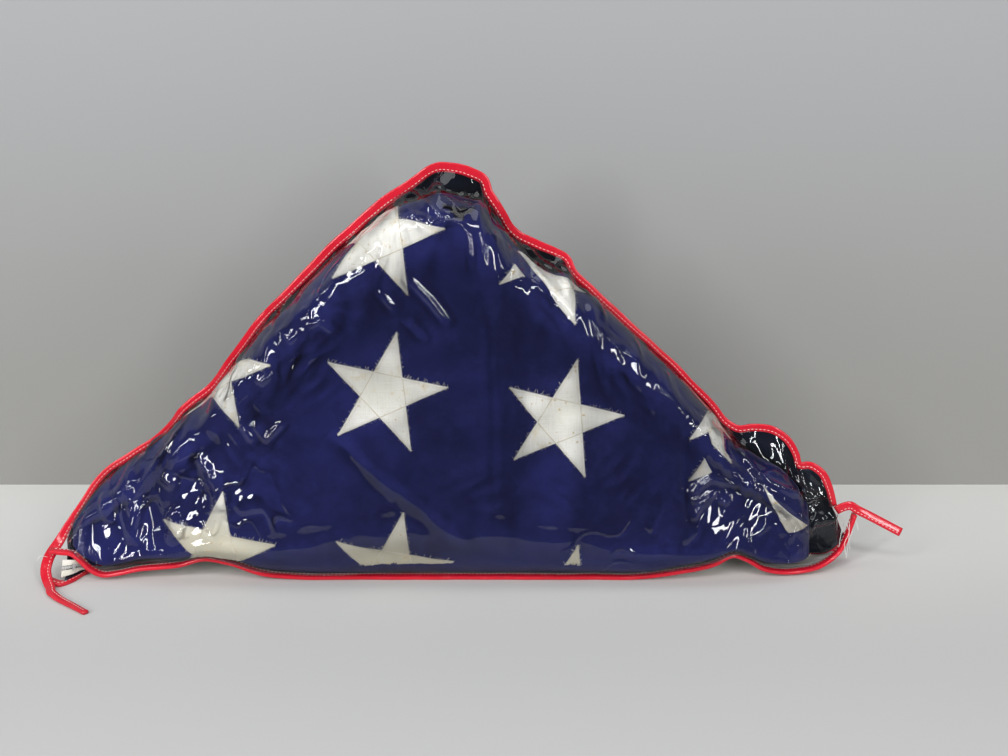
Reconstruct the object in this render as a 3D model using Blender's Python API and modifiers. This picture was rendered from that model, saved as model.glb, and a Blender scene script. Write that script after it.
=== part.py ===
"""A cotton flag folded into a triangle, in the zipped vinyl case that it is kept in.

Metres, +Z up, +X to the right, +Y to the back.  The origin is on the flat underside
of the zip, midway along the case.  The tables are in millimetres.
"""
import math
from collections import namedtuple

import bmesh
import bpy
from mathutils import Matrix, Vector

MM = 0.001

# Sheets and strips.
FILM_THICK = 1.0
TAPE_THICK = 1.0
COIL_WIDTH = 6.0
COIL_THICK = 2.4
EDGEWISE_REACH = 4.4           # from the middle of a binding to the zip where it is on edge
COIL_PINCH = 0.6               # how much of its width the coil loses where the zip is on edge
STOP_STATION = 1               # the section that the zip's end stop sits at
STOP_LENGTH = 2.0
STOP_WIDTH = 5.0
STOP_THICK = 1.2
SEAM_GAP = 0.8                 # clear space where two sewn pieces meet edge to edge
ZIP_GAP = 0.9                  # the same beside the tapes, which twist at the left corner
BINDING_WIDTH = 8.4
BINDING_THICK = 3.0            # the long binding over the two sloping edges
BASE_BINDING_THICK = 3.8       # the two bindings along the zip
TAIL_WIDTH = 8.0
SLENDER_DEPTH = 24.0           # sections thinner than this lean in from the steep corners
FILM_FOOT = 3.0                # from the middle of a base binding back to the film on it

# The folded flag.
LAYERS = 11
CLOTH_THICK = 4.0              # four plies of cotton, in the middle of the triangle
CLOTH_THICK_AT_TIPS = 2.4
FLAG_FOOT = 12.0               # from the zip up to the lowest fold
FLAG_ROUNDING = 9.0            # how much shorter the outer layers are, top and bottom
FOOT_SHARE = 0.3               # in a low section the foot takes no more of the height
ROUNDING_SHARE = 0.14          # and the rounding no more than this
THINNEST_HALF = 2.0            # half depth of a section that the flag hardly reaches
FILM_CLEARANCE = 8.0           # from the middle of the outer layer to the film
FILM_RISE = 7.6                # how far the film rises over the ends of the layers
FILM_RISE_SHARE = 0.45         # but no more than this share of the headroom
FULL_HEIGHT = 60.0             # lower sections are too slight to spread the film's rows
FOLD_HEIGHT = 1.6              # how far a fold stands past the end of its layers

# The sewn stars.
STAR_RADIUS = 47.0
STAR_WAIST = 18.0
STAR_THICK = 1.2

Station = namedtuple(
    "Station",
    "x seam_y seam_z front_x front_y front_lift back_y back_lift middle_y depth headroom flag")

# One row for each section of the case, from the left corner to the right one:
# x of the section, where the sloping seam runs (seam_y, seam_z), where the front and back
# edges of the zip run and how far they lift off the table, the middle of the section,
# its half depth, the room between the flag and the seam, and whether the flag has a
# section of its own there.
STATIONS = [Station(*row) for row in (
    #  x  seam_y seam_z front_x front_y lift back_y lift middle depth room flag
    (-297, -13, 28, -291, -27, 21.0, -38, 0, -26, 5, 3, 0),
    (-288, -4, 45, -284, -27, 20.0, -31, 0, -20, 14, 10, 0),
    (-279, 3, 60, -279, -28, 16.5, -17, 0, -14, 23, 14, 0),
    (-271, 6, 71, -271, -28, 8.0, -4, 0, -9, 26, 20, 1),
    (-263, 8, 80, -263, -27, 3.0, 5, 0, -6, 29, 18, 1),
    (-250, 10, 87, -250, -27, 4.0, 13, 0, -3, 33, 13, 0),
    (-235, 12, 91, -235, -26, 7.0, 20, 0, 0, 36, 16, 1),
    (-219, 13, 104, -219, -26, 8.5, 24, 0, 0, 39, 14, 0),
    (-203, 13, 122, -203, -25, 10.0, 26, 0, 0, 41, 18, 1),
    (-184, 12, 142, -184, -25, 15.0, 26, 0, 0, 43, 16, 0),
    (-165, 11, 163, -165, -25, 12.0, 26, 0, 0, 45, 17, 1),
    (-142, 9, 191, -142, -25, 3.5, 26, 0, 0, 46, 16, 1),
    (-110, 8, 223, -110, -25, 0.0, 26, 0, 0, 47, 16, 1),
    (-75, 8, 257, -75, -25, 0.0, 26, 0, 0, 48, 16, 1),
    (-40, 8, 287, -40, -25, 0.0, 26, 0, 0, 48, 18, 1),
    (-12, 8, 307, -12, -25, 0.0, 26, 0, 0, 47, 23, 0),
    (8, 8, 313, 8, -25, 0.0, 26, 0, 0, 47, 25, 1),
    (28, 8, 304, 28, -25, 0.0, 26, 0, 0, 47, 24, 0),
    (42, 9, 287, 42, -25, 0.0, 26, 0, 0, 47, 25, 1),
    (54, 13, 267, 54, -25, 0.0, 26, 0, 0, 47, 12, 0),
    (72, 14, 255, 72, -25, 0.0, 26, 0, 0, 47, 18, 1),
    (92, 11, 243, 92, -25, 0.0, 26, 0, 0, 47, 18, 0),
    (112, 9, 221, 112, -25, 0.0, 26, 0, 0, 46, 15, 1),
    (146, 9, 190, 146, -25, 0.0, 26, 0, 0, 46, 16, 1),
    (180, 10, 158, 180, -26, 5.0, 26, 0, 0, 45, 16, 1),
    (207, 12, 131, 207, -25, 11.0, 26, 0, 0, 43, 16, 1),
    (221, 12, 117, 221, -23, 17.0, 26, 0, 0, 41, 15, 1),
    (232, 10, 111, 232, -22, 13.0, 26, 0, 0, 39, 18, 0),
    (244, 8, 110, 244, -22, 6.0, 26, 0, 0, 37, 24, 1),
    (258, 6, 102, 259, -20, 2.0, 25, 0, 0, 33, 27, 1),
    (271, 4, 87, 276, -18, 2.0, 22, 0, 1, 28, 26, 1),
    (284, 1, 80, 292, -14, 5.0, 19, 1, 1, 21, 26, 0),
    (294, 0, 66, 306, -9, 14.0, 14, 5, 1, 14, 18, 0),
    (302, 0, 46, 316, -4, 36.0, 6, 22, 1, 6, 6, 0),
)]

# Swell of the outer layer from its lower end to its upper end, as a share of the depth.
LayerRow = namedtuple("LayerRow", "height swell")
LAYER_ROWS = [LayerRow(*row) for row in (
    (0.00, 0.80), (0.20, 0.96), (0.45, 1.00), (0.72, 0.96), (1.00, 0.86))]
SHOULDER_LAYERS = (0.75, 0.4)  # where the film crosses the ends of the inner layers

# The loose left end of the long binding, from its tip on the table up to the corner.
TailRow = namedtuple("TailRow", "x y z face_y face_z")
LEFT_TAIL = [TailRow(*row) for row in (
    (-254, -87, 1.6, 0.0, 1.0),
    (-268, -76, 1.6, 0.0, 1.0),
    (-282, -66, 1.6, 0.0, 1.0),
    (-292, -57, 2.2, -0.2, 1.0),
    (-299, -46, 4.4, -0.5, 0.9),
    (-303, -36, 8.0, -0.8, 0.6),
    (-303.5, -27, 15.0, -1.0, 0.3))]

# The loose right end, out from the corner into the air.
RIGHT_TAIL = [TailRow(*row) for row in (
    (306.3, -2, 50, -1.0, 0.0),
    (314, -3, 51, -1.0, 0.1),
    (323, -4, 47, -1.0, 0.2),
    (338, -6, 40, -1.0, 0.3),
    (354, -9, 33, -1.0, 0.3))]

# Stars on the front of the flag: x and z of the centre, the turn in degrees, how far the
# star lies from the middle of the outer layer, and a tuck: what lies beyond a line through
# its x and z, on the side that it faces, is turned under.
StarRow = namedtuple("StarRow", "x z turn lift tuck_x tuck_z face_x face_z")
STARS = [StarRow(*row) for row in (
    (-43, 264, -12, 3.6, -78, 250, -1.0, 0.3),
    (78, 232, -12, 3.6, 46, 252, -1.0, 0.3),
    (-165, 156, -12, 4.0, -190, 140, -1.0, 0.3),
    (-42, 149, -12, 3.6, -100, 149, -1.0, 0.0),
    (88, 128, -12, 3.6, 150, 128, 1.0, 0.0),
    (191, 117, -12, 4.0, 214, 112, 1.0, -0.2),
    (-172, 27, -9, 4.2, -172, 34, 0.0, -1.0),
    (-45, 14, -12, 3.6, -45, 21, 0.0, -1.0),
    (91, -12, -12, 3.6, 91, 21, 0.0, -1.0),
    (279, 36, -26, 3.8, 264, 39, 0.45, -1.0),
)]
STAR_TOP_MARGIN = 5.0          # a star is turned under this far below a layer's end


def clear_scene():
    for item in list(bpy.data.objects):
        bpy.data.objects.remove(item, do_unlink=True)


def new_collection(name):
    collection = bpy.data.collections.new(name)
    bpy.context.scene.collection.children.link(collection)
    return collection


def new_material(name, colour, roughness, metallic=0.0):
    material = bpy.data.materials.new(name)
    material.use_nodes = True
    shader = material.node_tree.nodes["Principled BSDF"]
    shader.inputs["Base Color"].default_value = (*colour, 1.0)
    shader.inputs["Roughness"].default_value = roughness
    shader.inputs["Metallic"].default_value = metallic
    return material


def add_object(name, mesh, material, collection):
    mesh.materials.append(material)
    item = bpy.data.objects.new(name, mesh)
    collection.objects.link(item)
    return item


def mix(start, end, share):
    return start + (end - start) * share


def thicken(item, thickness, even):
    solid = item.modifiers.new("thickness", "SOLIDIFY")
    solid.thickness = thickness * MM
    solid.offset = 0.0
    solid.use_even_offset = even


def sheet(name, sections, thickness, material, collection, even=True):
    """An open surface through sections of equally many points, given a thickness."""
    mesh = bpy.data.meshes.new(name)
    shape = bmesh.new()
    grid = [[shape.verts.new(Vector(point) * MM) for point in section] for section in sections]
    for left, right in zip(grid, grid[1:]):
        for row in range(len(left) - 1):
            shape.faces.new((left[row], right[row], right[row + 1], left[row + 1]))
    shape.to_mesh(mesh)
    shape.free()
    item = add_object(name, mesh, material, collection)
    thicken(item, thickness, even)
    return item


def strip(name, route, widths, thicknesses, size, material, collection):
    """A closed bar along a route.  widths and thicknesses are the directions of its sides."""
    half_width = size[0] / 2
    half_thickness = size[1] / 2
    mesh = bpy.data.meshes.new(name)
    shape = bmesh.new()
    rings = []
    for point, across, through in zip(route, widths, thicknesses):
        corners = ((-1, -1), (1, -1), (1, 1), (-1, 1))
        rings.append([shape.verts.new((point + across * half_width * a
                                       + through * half_thickness * b) * MM)
                      for a, b in corners])
    for ring, following in zip(rings, rings[1:]):
        for side in range(4):
            after = (side + 1) % 4
            shape.faces.new((ring[side], ring[after], following[after], following[side]))
    shape.faces.new(rings[0][::-1])
    shape.faces.new(rings[-1])
    bmesh.ops.recalc_face_normals(shape, faces=shape.faces)
    shape.to_mesh(mesh)
    shape.free()
    return add_object(name, mesh, material, collection)


def tangents(route):
    """The direction of travel at each point of a route."""
    last = len(route) - 1
    return [(route[min(i + 1, last)] - route[max(i - 1, 0)]).normalized()
            for i in range(len(route))]


def upward(route):
    """Square to a route and to the depth of the case."""
    return [Vector((-t.z, 0.0, t.x)).normalized() for t in tangents(route)]


# The section of the case at a station.

def floor_height(station, layer):
    """How high the zip lies under a layer: -1 is the front layer, 1 the back one."""
    return mix(station.front_lift, station.back_lift, (layer + 1) / 2)


def packet_point(station, layer, height, swell):
    """A point on a layer of the folded flag, height 0 at its lower end and 1 at its upper."""
    floor = floor_height(station, layer)
    crown = station.seam_z - station.headroom
    rounding = min(FLAG_ROUNDING, ROUNDING_SHARE * (crown - floor)) * layer ** 2
    lower = floor + min(FLAG_FOOT, FOOT_SHARE * (crown - floor)) + rounding
    z = mix(lower, crown - rounding, height)
    rise = (z - floor) / (station.seam_z - floor)
    y = mix(station.middle_y, station.seam_y, rise)
    y += layer * max(station.depth - FILM_CLEARANCE, THINNEST_HALF) * swell
    x = mix(station.front_x, station.x, rise)
    return Vector((x, y, z))


def deepest():
    return max(station.depth for station in STATIONS)


def seam_route():
    return [Vector((s.x, s.seam_y, s.seam_z)) for s in STATIONS]


def front_route():
    return [Vector((s.front_x, s.front_y, s.front_lift + BASE_BINDING_THICK / 2))
            for s in STATIONS]


def back_route():
    return [Vector((s.front_x, s.back_y, s.back_lift + BASE_BINDING_THICK / 2))
            for s in STATIONS]


def side_by_side(front, back):
    """From the front binding to the back one, square to the length of the case."""
    direction = back - front
    direction.x = 0.0
    return direction.normalized()


def film_section(index, side):
    """The film from a base binding up to the seam: side -1 is the front, 1 the back."""
    station = STATIONS[index]
    front = front_route()[index]
    back = back_route()[index]
    across = side_by_side(front, back)
    above = BASE_BINDING_THICK / 2 + SEAM_GAP + FILM_THICK
    if side < 0:
        edge = front + upward(front_route())[index] * above
        edge.y += FILM_FOOT
    else:
        edge = back + upward(back_route())[index] * above
        edge.y -= FILM_FOOT * (across.y + across.z)
    inset = BINDING_WIDTH / 2 + SEAM_GAP + FILM_THICK
    top = seam_route()[index] - upward(seam_route())[index] * inset
    top.y += side * (FILM_THICK / 2 + SEAM_GAP)
    rows = len(LAYER_ROWS) + len(SHOULDER_LAYERS) + 1
    if station.depth < FILM_CLEARANCE:
        top.z -= BINDING_WIDTH / 2
        return [edge.lerp(top, row / rows) for row in range(rows + 1)]
    points = [edge]
    spread = min(station.seam_z / FULL_HEIGHT, 1.0) ** 4
    for row in LAYER_ROWS:
        point = packet_point(station, side, row.height, row.swell)
        point.y += side * FILM_CLEARANCE
        point.z += FILM_CLEARANCE * (row.height - 0.5) * spread
        points.append(point)
    for layer in SHOULDER_LAYERS:
        point = packet_point(station, side * layer, 1.0, LAYER_ROWS[-1].swell)
        point.z += min(FILM_RISE, station.headroom * FILM_RISE_SHARE)
        point.y += side * FILM_CLEARANCE * layer / 2
        point.x = mix(top.x, point.x, min(station.depth / SLENDER_DEPTH, 1.0))
        points.append(point)
    points.append(top)
    return points


def case_panels(collection, clear, navy):
    stations = range(len(STATIONS))
    sheet("case_front", [film_section(i, -1) for i in stations], FILM_THICK, clear, collection,
          even=False)
    sheet("case_back", [film_section(i, 1) for i in stations], FILM_THICK, navy, collection,
          even=False)


# Bindings.

def long_binding(collection, red):
    """Over both sloping edges, with its left end loose on the table."""
    tail = [Vector((row.x, row.y, row.z)) for row in LEFT_TAIL]
    faces = [Vector((0.0, row.face_y, row.face_z)) for row in LEFT_TAIL]
    route = tail + seam_route()
    faces += [Vector((0.0, -1.0, 0.0))] * len(STATIONS)
    travel = tangents(route)
    widths = [face.cross(t).normalized() for face, t in zip(faces, travel)]
    through = [t.cross(width).normalized() for width, t in zip(widths, travel)]
    strip("binding_top", route, widths, through, (BINDING_WIDTH, BINDING_THICK), red, collection)


def right_tail(collection, red):
    route = [Vector((row.x, row.y, row.z)) for row in RIGHT_TAIL]
    faces = [Vector((0.0, row.face_y, row.face_z)) for row in RIGHT_TAIL]
    travel = tangents(route)
    widths = [face.cross(t).normalized() for face, t in zip(faces, travel)]
    through = [t.cross(width).normalized() for width, t in zip(widths, travel)]
    strip("binding_tail_right", route, widths, through, (TAIL_WIDTH, BINDING_THICK), red,
          collection)


def base_bindings(collection, red):
    """Flanges along the front and the back edge of the zip."""
    for name, route in (("binding_front", front_route()), ("binding_back", back_route())):
        widths = [Vector((0.0, 1.0, 0.0))] * len(route)
        strip(name, route, widths, upward(route), (BINDING_WIDTH, BASE_BINDING_THICK), red,
              collection)


# The zip.

def band_edges(index):
    """Where the zip's two outer edges lie, beside the bindings that hold them."""
    front = front_route()[index]
    back = back_route()[index]
    across = side_by_side(front, back)
    reach = BINDING_WIDTH / 2 * abs(across.y) + EDGEWISE_REACH * abs(across.z) + ZIP_GAP
    down = Vector((0.0, 0.0, (BASE_BINDING_THICK - TAPE_THICK) / 2 * abs(across.y)))
    return front + across * reach - down, back - across * reach - down


def coil_share(across):
    """How much of its width the coil keeps where the band of the zip is on edge."""
    return 1.0 - COIL_PINCH * abs(across.z)


def zip_pieces(collection, white, coil_white, metal):
    front_tape = []
    back_tape = []
    coil_route = []
    across_band = []
    for index in range(len(STATIONS) - 1):
        front, back = band_edges(index)
        across = side_by_side(front, back)
        middle = (front + back) / 2
        half = COIL_WIDTH / 2 * coil_share(across) + ZIP_GAP
        front_tape.append([front, middle - across * half])
        back_tape.append([middle + across * half, back])
        coil_route.append(middle)
        across_band.append(across * coil_share(across))
    travel = tangents(coil_route)
    inward = [t.cross(across).normalized() for t, across in zip(travel, across_band)]
    centred = [point + up * (COIL_THICK - TAPE_THICK) / 2
               for point, up in zip(coil_route, inward)]
    sheet("zip_tape_front", front_tape, TAPE_THICK, white, collection, even=False)
    sheet("zip_tape_back", back_tape, TAPE_THICK, white, collection, even=False)
    strip("zip_coil", centred, across_band, inward, (COIL_WIDTH, COIL_THICK), coil_white,
          collection)
    seat = centred[STOP_STATION] - inward[STOP_STATION] * (COIL_THICK / 2 + SEAM_GAP)
    zip_stop(seat, travel[STOP_STATION], inward[STOP_STATION], collection, metal)


def zip_stop(seat, along, inward, collection, metal):
    """The metal end stop, clamped over the coil at the left corner."""
    shape = bmesh.new()
    bmesh.ops.create_cube(shape, size=1.0)
    outward = -inward
    across = outward.cross(along).normalized()
    turn = Matrix((along * STOP_LENGTH, across * STOP_WIDTH, outward * STOP_THICK)).transposed()
    for vertex in shape.verts:
        vertex.co = (seat + turn @ (vertex.co + Vector((0.0, 0.0, 0.5)))) * MM
    bmesh.ops.recalc_face_normals(shape, faces=shape.faces)
    mesh = bpy.data.meshes.new("zip_stop")
    shape.to_mesh(mesh)
    shape.free()
    add_object("zip_stop", mesh, metal, collection)


# The flag.

def flag_stations():
    return [station for station in STATIONS if station.flag]


def flag_section(station):
    """Back and forth through the layers, from the front of the packet to its back."""
    runs = []
    for number in range(LAYERS):
        layer = mix(-1.0, 1.0, number / (LAYERS - 1))
        run = [packet_point(station, layer, row.height, row.swell) for row in LAYER_ROWS]
        runs.append(run if number % 2 == 0 else run[::-1])
    points = list(runs[0])
    for number, run in enumerate(runs[1:]):
        start = points[-1]
        end = run[0]
        fold = (start + end) / 2
        if number % 2 == 0:
            fold.z = max(start.z, end.z) + FOLD_HEIGHT
        else:
            fold.z = min(start.z, end.z) - FOLD_HEIGHT
        points.append(fold)
        points.extend(run)
    return points


def folded_flag(collection, blue):
    sections = [flag_section(station) for station in flag_stations()]
    item = sheet("flag", sections, CLOTH_THICK, blue, collection)
    fullness = item.vertex_groups.new(name="fullness")
    per_section = len(sections[0])
    shallowest = min(station.depth for station in flag_stations())
    for number, station in enumerate(flag_stations()):
        share = (station.depth - shallowest) / (deepest() - shallowest)
        first = number * per_section
        fullness.add(list(range(first, first + per_section)), share, "REPLACE")
    solid = item.modifiers["thickness"]
    solid.vertex_group = fullness.name
    solid.thickness_vertex_group = CLOTH_THICK_AT_TIPS / CLOTH_THICK


def depth_on_layer(points, z):
    """y on one layer's section at a height."""
    if z <= points[0].z:
        return points[0].y
    for lower, upper in zip(points, points[1:]):
        if z <= upper.z:
            return mix(lower.y, upper.y, (z - lower.z) / (upper.z - lower.z))
    return points[-1].y


def front_layer(station):
    return [packet_point(station, -1.0, row.height, row.swell) for row in LAYER_ROWS]


def front_of_flag(x, z):
    """y on the middle of the flag's outer layer."""
    stations = flag_stations()
    pairs = list(zip(stations, stations[1:]))
    left, right = next((pair for pair in pairs if x <= pair[1].x), pairs[-1])
    share = min(max((x - left.x) / (right.x - left.x), 0.0), 1.0)
    return mix(depth_on_layer(front_layer(left), z), depth_on_layer(front_layer(right), z), share)


def cut_away(shape, point, facing):
    """Turn under what lies beyond a line."""
    bmesh.ops.bisect_plane(shape, geom=shape.verts[:] + shape.edges[:] + shape.faces[:],
                           plane_co=point, plane_no=facing, clear_outer=True)


def star(name, row, collection, white):
    """A five-pointed star, flat at first, cut at its tucks and laid on the flag."""
    shape = bmesh.new()
    bmesh.ops.create_circle(shape, cap_ends=True, segments=10, radius=STAR_RADIUS)
    for number, vertex in enumerate(shape.verts):
        radius = STAR_WAIST if number % 2 else STAR_RADIUS
        angle = math.radians(90 + 36 * number + row.turn)
        vertex.co = Vector((row.x + radius * math.cos(angle), 0.0,
                            row.z + radius * math.sin(angle)))
    bmesh.ops.poke(shape, faces=shape.faces[:])
    bmesh.ops.subdivide_edges(shape, edges=shape.edges[:], cuts=1, use_grid_fill=True)
    cut_away(shape, Vector((row.tuck_x, 0.0, row.tuck_z)),
             Vector((row.face_x, 0.0, row.face_z)))
    tops = [(station.x, front_layer(station)[-1].z - STAR_TOP_MARGIN)
            for station in flag_stations()]
    for (left_x, left_z), (right_x, right_z) in zip(tops, tops[1:]):
        if abs((left_x + right_x) / 2 - row.x) < STAR_RADIUS:
            facing = Vector((left_z - right_z, 0.0, right_x - left_x))
            cut_away(shape, Vector((left_x, 0.0, left_z)), facing)
    bmesh.ops.remove_doubles(shape, verts=shape.verts[:], dist=STAR_THICK)
    bmesh.ops.triangulate(shape, faces=shape.faces[:])
    for vertex in shape.verts:
        x, _, z = vertex.co
        vertex.co = Vector((x, front_of_flag(x, z) - row.lift, z)) * MM
    bmesh.ops.recalc_face_normals(shape, faces=shape.faces[:])
    mesh = bpy.data.meshes.new(name)
    shape.to_mesh(mesh)
    shape.free()
    thicken(add_object(name, mesh, white, collection), STAR_THICK, even=False)


def main():
    clear_scene()
    collection = new_collection("folded_flag_in_zip_case")
    blue = new_material("navy cotton", (0.025, 0.027, 0.13), 0.9)
    white = new_material("white cotton", (0.72, 0.69, 0.60), 0.9)
    clear = new_material("clear vinyl", (0.55, 0.58, 0.66), 0.12)
    navy = new_material("navy vinyl", (0.006, 0.009, 0.022), 0.25)
    red = new_material("red vinyl", (0.55, 0.012, 0.018), 0.35)
    tape = new_material("zip tape", (0.75, 0.74, 0.70), 0.8)
    coil = new_material("zip coil", (0.62, 0.61, 0.58), 0.45)
    metal = new_material("zip metal", (0.60, 0.60, 0.60), 0.3, 1.0)
    folded_flag(collection, blue)
    for number, row in enumerate(STARS, 1):
        star(f"star_{number}", row, collection, white)
    case_panels(collection, clear, navy)
    long_binding(collection, red)
    right_tail(collection, red)
    base_bindings(collection, red)
    zip_pieces(collection, tape, coil, metal)


main()
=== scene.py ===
"""The looks of an old cotton flag folded into a triangle, in its zipped clear case.

Metres, +Z up, +X to the right, +Y to the back.  The tables are in millimetres.
"""

import math
import random

import bmesh
import bpy
import numpy as np
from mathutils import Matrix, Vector, noise
from mathutils.bvhtree import BVHTree


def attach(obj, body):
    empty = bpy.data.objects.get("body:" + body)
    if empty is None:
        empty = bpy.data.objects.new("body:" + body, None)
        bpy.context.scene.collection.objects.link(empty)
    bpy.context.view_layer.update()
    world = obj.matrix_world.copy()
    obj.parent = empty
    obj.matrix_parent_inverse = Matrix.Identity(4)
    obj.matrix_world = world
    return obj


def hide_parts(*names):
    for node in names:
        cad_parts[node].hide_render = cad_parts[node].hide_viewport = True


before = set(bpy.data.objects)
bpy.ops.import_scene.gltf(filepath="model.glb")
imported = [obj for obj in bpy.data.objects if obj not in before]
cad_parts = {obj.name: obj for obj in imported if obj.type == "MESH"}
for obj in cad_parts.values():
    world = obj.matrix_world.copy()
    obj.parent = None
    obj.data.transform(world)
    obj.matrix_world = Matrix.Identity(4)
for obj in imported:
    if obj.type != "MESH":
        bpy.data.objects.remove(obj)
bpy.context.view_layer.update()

MM = 0.001

# The case and the flag, as they are built: one row for each section from left to right.
COLUMNS = ("x", "front_x", "front_y", "front_lift", "back_y", "back_lift", "middle_y", "depth")
SECTIONS = np.array((
    (-297, -291, -27, 21.0, -38, 0, -26, 5),
    (-288, -284, -27, 20.0, -31, 0, -20, 14),
    (-279, -279, -28, 16.5, -17, 0, -14, 23),
    (-271, -271, -28, 8.0, -4, 0, -9, 26),
    (-263, -263, -27, 3.0, 5, 0, -6, 29),
    (-250, -250, -27, 4.0, 13, 0, -3, 33),
    (-235, -235, -26, 7.0, 20, 0, 0, 36),
    (-219, -219, -26, 8.5, 24, 0, 0, 39),
    (-203, -203, -25, 10.0, 26, 0, 0, 41),
    (-184, -184, -25, 15.0, 26, 0, 0, 43),
    (-165, -165, -25, 12.0, 26, 0, 0, 45),
    (-142, -142, -25, 3.5, 26, 0, 0, 46),
    (-110, -110, -25, 0.0, 26, 0, 0, 47),
    (-75, -75, -25, 0.0, 26, 0, 0, 48),
    (-40, -40, -25, 0.0, 26, 0, 0, 48),
    (-12, -12, -25, 0.0, 26, 0, 0, 47),
    (8, 8, -25, 0.0, 26, 0, 0, 47),
    (28, 28, -25, 0.0, 26, 0, 0, 47),
    (42, 42, -25, 0.0, 26, 0, 0, 47),
    (54, 54, -25, 0.0, 26, 0, 0, 47),
    (72, 72, -25, 0.0, 26, 0, 0, 47),
    (92, 92, -25, 0.0, 26, 0, 0, 47),
    (112, 112, -25, 0.0, 26, 0, 0, 46),
    (146, 146, -25, 0.0, 26, 0, 0, 46),
    (180, 180, -26, 5.0, 26, 0, 0, 45),
    (207, 207, -25, 11.0, 26, 0, 0, 43),
    (221, 221, -23, 17.0, 26, 0, 0, 41),
    (232, 232, -22, 13.0, 26, 0, 0, 39),
    (244, 244, -22, 6.0, 26, 0, 0, 37),
    (258, 259, -20, 2.0, 25, 0, 0, 33),
    (271, 276, -18, 2.0, 22, 0, 1, 28),
    (284, 292, -14, 5.0, 19, 1, 1, 21),
    (294, 306, -9, 14.0, 14, 5, 1, 14),
    (302, 316, -4, 36.0, 6, 22, 1, 6),
), float)
LEFT_END = SECTIONS[0, 0]
FLAG_ENDS = (-288.0, 278.0)

# The loose ends of the long binding: x, y, z and the way that the flat side faces.
LEFT_TAIL = np.array((
    (-255, -86, 1.6, 0.0, 1.0), (-268, -75.5, 1.6, 0.0, 1.0), (-287, -59, 1.8, 0.0, 1.0),
    (-292, -54, 2.2, -0.2, 1.0), (-294.5, -49, 2.8, -0.4, 1.0), (-300, -40, 5.6, -0.7, 0.8),
    (-303, -33, 10.0, -0.9, 0.5), (-303, -26, 17.0, -1.0, 0.3)))
RIGHT_TAIL = np.array((
    (303.5, -3, 47.0, -1.0, 0.0), (309, -4, 50.5, -1.0, 0.0), (314, -4, 51.5, -1.0, 0.1),
    (319, -4, 48.5, -1.0, 0.2), (330, -5, 43, -1.0, 0.3), (353.5, -8, 31, -1.0, 0.3)))
# Where the two base bindings run on to, past the ends of their sections.
CORNER_ENDS = {
    "base_binding_front": (((-301, -27, 24),), ((318, -3, 44),)),
    "base_binding_back": (((-299, -37, 4),), ()),
}

# Sizes of the layers and the panels.
LAYERS = 11
FLAG_FOOT = 4.0
FLAG_ROUNDING = 9.0
FOOT_SHARE = 0.3
ROUNDING_SHARE = 0.14
# How much of the rounding the lower folds keep, by x: the flag settles where its zip lies flat.
LOW_SHARES = ((-235.0, -190.0, 180.0, 235.0), (0.3, -0.05, -0.05, 0.3))
THINNEST_HALF = 2.0
CLEARANCE = 8.0
CLOTH_THICK = 3.6
FILM_GAP = 6.2                 # from the middle of the outer layer to the clear film
BINDING_WIDTH = 7.4
BINDING_THICK = 2.6
BASE_THICK = 3.2
LAYER_HEIGHTS = np.array((0.0, 0.05, 0.12, 0.22, 0.45, 0.72, 1.0))
LAYER_SWELL = np.array((0.47, 0.86, 1.03, 1.01, 0.88, 0.76, 0.66))

# The seam under the long binding: x, y, z.
SEAM = np.array((
    (-297, -13, 28), (-288, -4, 44), (-279, 3, 58), (-271, 6, 69), (-263, 8, 77), (-250, 10, 85),
    (-238, 12, 93), (-228, 14, 99), (-219, 14, 106), (-211, 13, 114), (-204, 11, 123),
    (-195, 12, 131), (-184, 15, 139), (-165, 12, 161), (-142, 9, 191), (-110, 8, 223),
    (-75, 8, 257), (-40, 8, 286), (-17, 8, 301.5), (-7, 8, 308), (-3, 8, 309.5), (8, 8, 309),
    (22, 8, 305), (30, 8, 301), (34, 8, 291), (38, 8, 285), (45, 10, 274), (50, 13, 265),
    (56, 14, 259), (68, 14, 253), (83, 13, 247), (92, 12, 242), (97, 11, 233),
    (112, 10, 218.5), (146, 9, 187), (180, 10, 155.5),
    (207, 12, 127), (218, 12, 114), (227, 11, 109), (238, 9, 111), (249, 7, 111),
    (262, 5, 104), (271, 4, 91), (275, 4, 82), (281, 2, 83), (290, 0, 78), (297, 0, 66),
    (302, 0, 50)), float)
# The room between the flag's cover and the seam, past the room that the cover takes.
COVER_ROOM = 5.0
ROOM = np.array((
    (-297, 3), (-280, 6), (-262, 7), (-248, 4), (-236, 3), (-222, 2), (-211, 3), (-203, 6),
    (-195, 7), (-184, 6.5), (-165, 7), (-142, 9), (-75, 9), (-40, 9), (-25, 13), (-12, 17),
    (8, 19), (28, 18), (36, 15), (45, 10), (54, 9), (66, 13), (84, 15), (96, 9), (108, 6),
    (150, 5), (180, 6), (195, 7), (208, 7.5), (221, 11), (232, 16), (244, 24), (258, 27), (271, 27),
    (284, 26), (302, 8)), float)


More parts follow.
